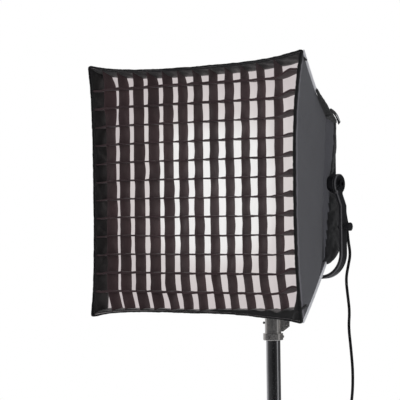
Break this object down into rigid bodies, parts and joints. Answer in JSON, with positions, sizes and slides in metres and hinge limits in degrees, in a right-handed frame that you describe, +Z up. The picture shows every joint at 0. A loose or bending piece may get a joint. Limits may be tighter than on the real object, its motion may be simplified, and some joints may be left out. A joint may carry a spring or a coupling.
{
  "type": "studio softbox",
  "caption": "Square egg-crate softbox on a panel lamp head in a U yoke, on a telescopic steel stand with folding legs; tilts, pans and rises, with a coiled mains cord.",
  "frame": {"origin": "centre of the stand's footprint on the floor, below the middle of the bounding box", "axes": "+Z up; the softbox's diffusing front faces -Y; +X is to the right of someone who looks at the front"},
  "size_m": [0.842, 0.7314, 1.92],
  "materials": {
    "chromed_steel": "polished chrome plate on steel tube",
    "cast_chrome": "satin chrome on a casting",
    "zinc_screw": "blackened steel",
    "boot_rubber": "matt moulded rubber",
    "knob_plastic": "moulded, lightly textured",
    "black_paint": "black powder coat, satin",
    "bolt_steel": "black oxide",
    "nylon": "natural nylon",
    "strap_fabric": "hook and loop webbing",
    "head_shell": "dark grey powder coat",
    "head_plastic": "textured moulding",
    "heat_sink": "black anodised fins",
    "opal": "opal diffusing sheet",
    "led_board": "white solder mask",
    "led": "phosphor domes",
    "display": "gloss window",
    "button_plastic": "moulded",
    "rocker_plastic": "moulded rocker",
    "shell_fabric": "dark grey coated nylon",
    "rim_fabric": "black stretch binding",
    "ridge_tape": "light grey piping tape",
    "skirt_fabric": "black elastic skirt",
    "rod_steel": "spring steel rod",
    "rod_end": "moulded end",
    "frame_alloy": "black anodised",
    "diffuser": "white diffusion cloth",
    "grid_fabric": "black nylon grid webbing",
    "cord_jacket": "black rubber cord",
    "plug_body": "moulded plug"
  },
  "bodies": {
    "root": {"base_column": "chromed_steel", "leg_front": "chromed_steel", "foot_front": "boot_rubber", "hub_keepers": "cast_chrome", "column_collar": "cast_chrome", "cord_lower": "cord_jacket", "cord_coil": "cord_jacket", "cord_plug": "plug_body"},
    "leg_left": {"leg_left": "chromed_steel", "foot_left": "boot_rubber"},
    "leg_right": {"leg_right": "chromed_steel", "foot_right": "boot_rubber"},
    "collar_knob": {"collar_knob": "knob_plastic"},
    "riser": {"riser_tube": "chromed_steel", "riser_bushing": "nylon", "receiver_casting": "cast_chrome", "receiver_screws": "zinc_screw", "cord_strap": "strap_fabric"},
    "receiver_tee": {"receiver_tee": "cast_chrome"},
    "yoke": {"yoke_frame": "black_paint", "yoke_spigot": "cast_chrome", "spigot_bolt": "bolt_steel", "pivot_bolts": "bolt_steel", "cord_clip": "knob_plastic", "cord_to_clip": "cord_jacket", "cord_hanging": "cord_jacket"},
    "clip_thumbscrew": {"clip_thumbscrew": "knob_plastic"},
    "tilt_lock_knob": {"tilt_lock_knob": "knob_plastic"},
    "head": {"head_housing": "head_shell", "pivot_hubs": "head_shell", "head_bezel": "frame_alloy", "opal_panel": "opal", "led_board": "led_board", "led_emitters": "led", "rear_cover": "head_shell", "heat_sink": "heat_sink", "control_box": "head_plastic", "display_window": "display", "rear_handle": "black_paint", "cord_gland": "boot_rubber", "front_hem": "rim_fabric", "shell_top": "shell_fabric", "shell_left": "shell_fabric", "shell_bottom": "shell_fabric", "shell_right": "shell_fabric", "ridge_tapes": "ridge_tape", "support_rods": "rod_steel", "rod_ends": "rod_end", "mounting_frame": "frame_alloy", "rear_skirt": "skirt_fabric", "inner_baffle": "diffuser", "front_diffuser": "diffuser"},
    "dial_left": {"dial_left": "knob_plastic"},
    "dial_right": {"dial_right": "knob_plastic"},
    "button_left": {"button_left": "button_plastic"},
    "button_right": {"button_right": "button_plastic"},
    "power_rocker": {"power_rocker": "rocker_plastic"},
    "grid": {"grid_border": "grid_fabric", "grid_strips_vertical": "grid_fabric", "grid_strips_horizontal": "grid_fabric"}
  },
  "joints": [
    {"name": "leg_left_swing", "type": "hinge", "parent": "root", "child": "leg_left", "pos_m": [0, 0.11408, 0.1646], "axis": [0, 0, 1], "range_deg": [0, 106]},
    {"name": "leg_right_swing", "type": "hinge", "parent": "root", "child": "leg_right", "pos_m": [0, 0.11408, 0.2012], "axis": [0, 0, 1], "range_deg": [-106, 0]},
    {"name": "collar_knob_turn", "type": "hinge", "parent": "root", "child": "collar_knob", "pos_m": [-0.06, 0.11408, 0.772], "axis": [-1, 0, 0], "range_deg": [0, 360]},
    {"name": "riser_slide", "type": "slide", "parent": "root", "child": "riser", "axis": [0, 0, 1], "range_m": [0, 0.35], "deforming": ["cord_lower"]},
    {"name": "receiver_tee_turn", "type": "hinge", "parent": "riser", "child": "receiver_tee", "pos_m": [0.04692, 0.14818, 1.32], "axis": [0.809, 0.5878, 0], "range_deg": [0, 360]},
    {"name": "yoke_pan", "type": "hinge", "parent": "riser", "child": "yoke", "pos_m": [0, 0.11408, 1.368], "axis": [0, 0, 1], "range_deg": [-120, 120], "deforming": ["cord_hanging"]},
    {"name": "clip_thumbscrew_turn", "type": "hinge", "parent": "yoke", "child": "clip_thumbscrew", "pos_m": [0.2185, 0.11408, 1.528], "axis": [1, 0, 0], "range_deg": [0, 360]},
    {"name": "head_tilt", "type": "hinge", "parent": "yoke", "child": "head", "pos_m": [0, 0.11408, 1.63], "axis": [1, 0, 0], "range_deg": [-90, 10], "deforming": ["cord_to_clip"]},
    {"name": "tilt_lock_turn", "type": "hinge", "parent": "yoke", "child": "tilt_lock_knob", "pos_m": [-0.215, 0.11408, 1.63], "axis": [-1, 0, 0], "range_deg": [0, 180]},
    {"name": "dial_left_turn", "type": "hinge", "parent": "head", "child": "dial_left", "pos_m": [-0.064, 0.18508, 1.51], "axis": [0, 1, 0], "continuous": true},
    {"name": "dial_right_turn", "type": "hinge", "parent": "head", "child": "dial_right", "pos_m": [-0.03, 0.18508, 1.51], "axis": [0, 1, 0], "continuous": true},
    {"name": "button_left_press", "type": "slide", "parent": "head", "child": "button_left", "axis": [0, -1, 0], "range_m": [0, 0.002], "stiffness_N_per_m": 400},
    {"name": "button_right_press", "type": "slide", "parent": "head", "child": "button_right", "axis": [0, -1, 0], "range_m": [0, 0.002], "stiffness_N_per_m": 400},
    {"name": "power_rocker_tip", "type": "hinge", "parent": "head", "child": "power_rocker", "pos_m": [0.084, 0.18308, 1.524], "axis": [1, 0, 0], "range_deg": [0, 11]},
    {"name": "grid_pull", "type": "slide", "parent": "head", "child": "grid", "axis": [0, -1, 0], "range_m": [0, 0.08]}
  ]
}
